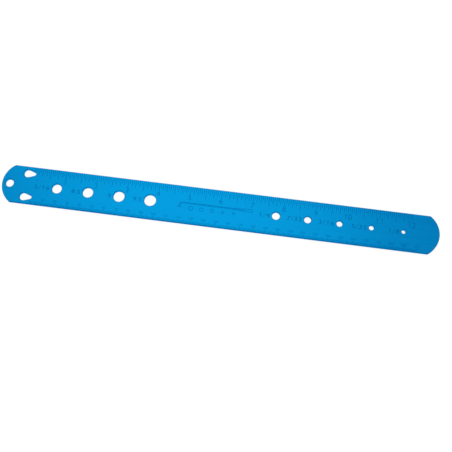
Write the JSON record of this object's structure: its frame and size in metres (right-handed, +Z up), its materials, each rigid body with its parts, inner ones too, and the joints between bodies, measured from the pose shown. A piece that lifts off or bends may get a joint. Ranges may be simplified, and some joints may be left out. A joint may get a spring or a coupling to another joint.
{
  "type": "spoke and bearing gauge",
  "caption": "Long flat plate with arc-cut ends, a hanging hole, teardrop hooks and a row of graded round holes, for measuring wheel spokes, bearing balls and cotter pins.",
  "frame": {"origin": "middle of the plate's back face, on the surface that it lies on", "axes": "+X along the scales, from the hooks to the plain end; +Y across the plate, towards the inch scale; +Z up, out of the marked face"},
  "size_m": [0.3528, 0.0312, 0.003],
  "materials": {
    "anodised_blue": "satin blue anodising over a fine brushed grain",
    "dark_marks": "matt dark marks in the anodising: ticks, numerals and hole sizes"
  },
  "bodies": {
    "root": {"gauge_plate": "anodised_blue"}
  },
  "joints": []
}
